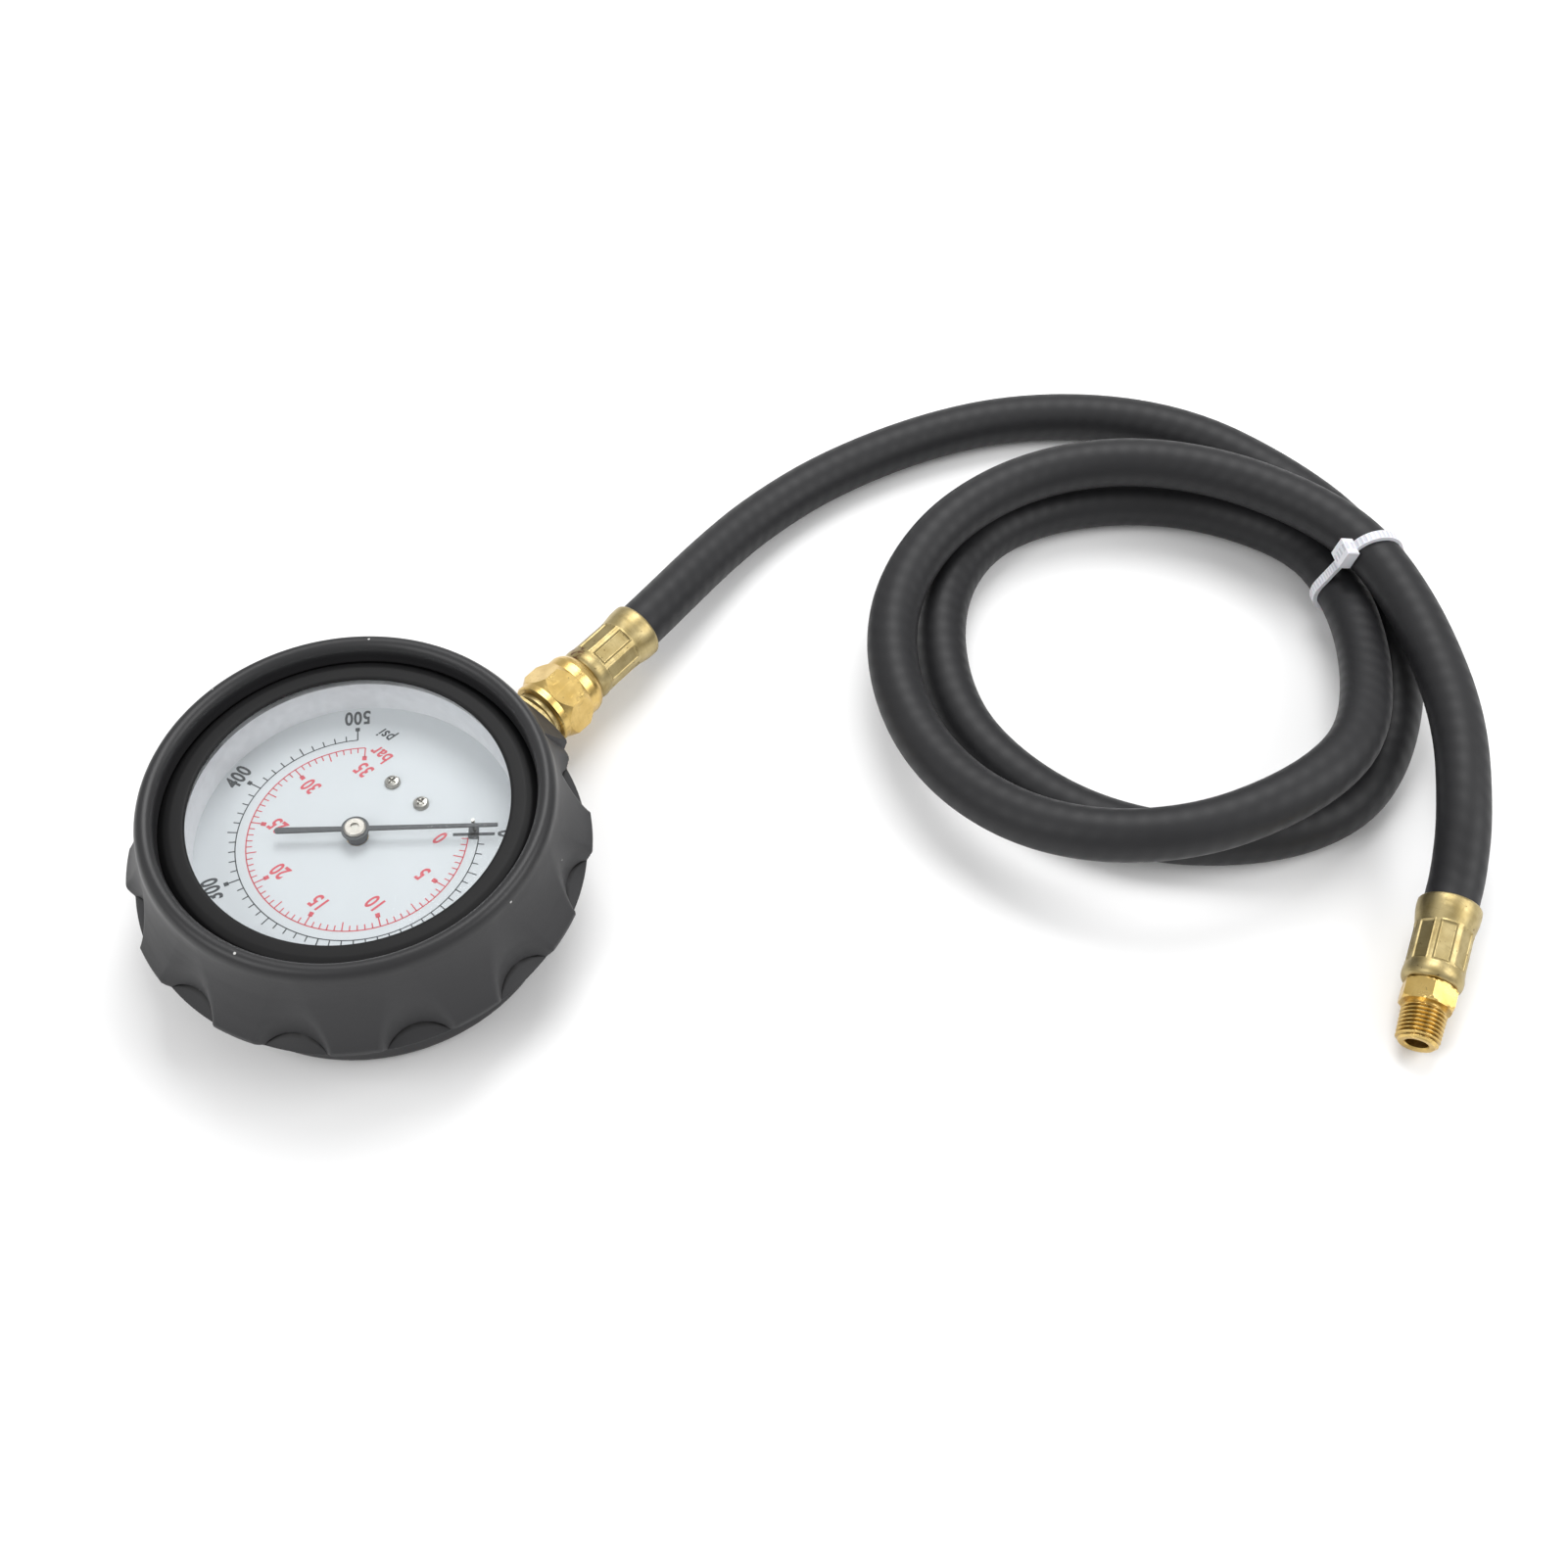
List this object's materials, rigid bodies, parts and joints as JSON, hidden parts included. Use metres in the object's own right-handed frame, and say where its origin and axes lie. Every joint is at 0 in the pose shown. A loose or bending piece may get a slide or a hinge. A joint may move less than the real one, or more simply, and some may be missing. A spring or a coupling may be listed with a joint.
{
  "type": "engine oil pressure tester",
  "caption": "Pressure gauge in a scalloped black rubber boot with a swivel nut, a coiled and tied rubber hose and a brass male thread adapter.",
  "frame": {"origin": "on the pointer's axis, on the flat back of the rubber boot", "axes": "+Z along the pointer's axis towards the window, -Y along the gauge's stem towards the swivel nut"},
  "size_m": [0.2559, 0.294, 0.041],
  "materials": {
    "boot_rubber": "satin moulded rubber, glossier on the lip",
    "hose_rubber": "satin, faint diagonal braid pattern",
    "bezel_black": "satin black, turned",
    "case_black": "satin black",
    "window_glass": "clear, polished",
    "dial_white": "matt white with printed scales",
    "ring_white": "matt",
    "brass_bright": "bright turned brass with fine scratches",
    "brass_dull": "dull brass",
    "brass_movement": "punched brass",
    "bronze_tube": "drawn bronze",
    "steel_bright": "bright",
    "nickel_hub": "nickel plated, turned",
    "pointer_black": "matt black",
    "nylon_white": "translucent nylon"
  },
  "bodies": {
    "gauge": {"rubber_boot": "boot_rubber", "blowout_plug": "boot_rubber", "hose_lead": "hose_rubber", "hose_coil": "hose_rubber", "hose_tail": "hose_rubber", "window_gasket": "hose_rubber", "bezel_ring": "bezel_black", "gauge_case": "case_black", "window": "window_glass", "dial_plate": "dial_white", "spacer_ring": "ring_white", "end_adapter": "brass_bright", "gauge_ferrule": "brass_dull", "far_ferrule": "brass_dull", "hose_nipple": "brass_dull", "socket_block": "brass_dull", "movement_back_plate": "brass_movement", "movement_front_plate": "brass_movement", "movement_pillars": "brass_movement", "bourdon_tube": "bronze_tube", "stop_pin": "steel_bright", "dial_screws": "steel_bright", "movement_screws": "steel_bright", "case_screws": "steel_bright", "cable_tie": "nylon_white"},
    "pointer_group": {"pinion_spindle": "steel_bright", "hairspring_collet": "brass_movement", "hairspring": "bronze_tube", "pointer": "pointer_black", "pointer_bush": "nickel_hub"},
    "sector_group": {"sector_gear": "brass_movement", "sector_arbor": "steel_bright", "tail_pin": "steel_bright"},
    "tip_group": {"tube_tip": "brass_movement", "tip_pin": "steel_bright"},
    "link_group": {"link": "brass_movement"},
    "nut": {"swivel_nut": "brass_bright"}
  },
  "joints": [
    {"name": "sector_pivot", "type": "hinge", "parent": "gauge", "child": "sector_group", "pos_m": [0.01155, -0.02, 0.0176], "axis": [0, 0, 1], "range_deg": [0, 27], "stiffness_Nm_per_rad": 0.01},
    {"name": "pointer_spin", "type": "hinge", "parent": "gauge", "child": "pointer_group", "pos_m": [0, 0, 0.025], "axis": [0, 0, -1], "range_deg": [0, 270], "deforming": ["hairspring"]},
    {"name": "tube_tip_flex", "type": "hinge", "parent": "gauge", "child": "tip_group", "pos_m": [0.00503, -0.00592, 0.012], "axis": [0, 0, 1], "range_deg": [0, 9.64], "deforming": ["bourdon_tube"]},
    {"name": "link_eye", "type": "hinge", "parent": "tip_group", "child": "link_group", "pos_m": [0.02994, -0.00802, 0.0184], "axis": [0, 0, 1], "range_deg": [-9.64, 0]},
    {"name": "nut_spin", "type": "hinge", "parent": "gauge", "child": "nut", "pos_m": [0, -0.0645, 0.012], "axis": [0, -1, 0], "continuous": true}
  ],
  "couplings": [
    {"joint": "pointer_spin", "follows": "sector_pivot", "ratio": 10},
    {"joint": "tube_tip_flex", "follows": "sector_pivot", "ratio": 0.357},
    {"joint": "link_eye", "follows": "sector_pivot", "ratio": -0.357}
  ]
}
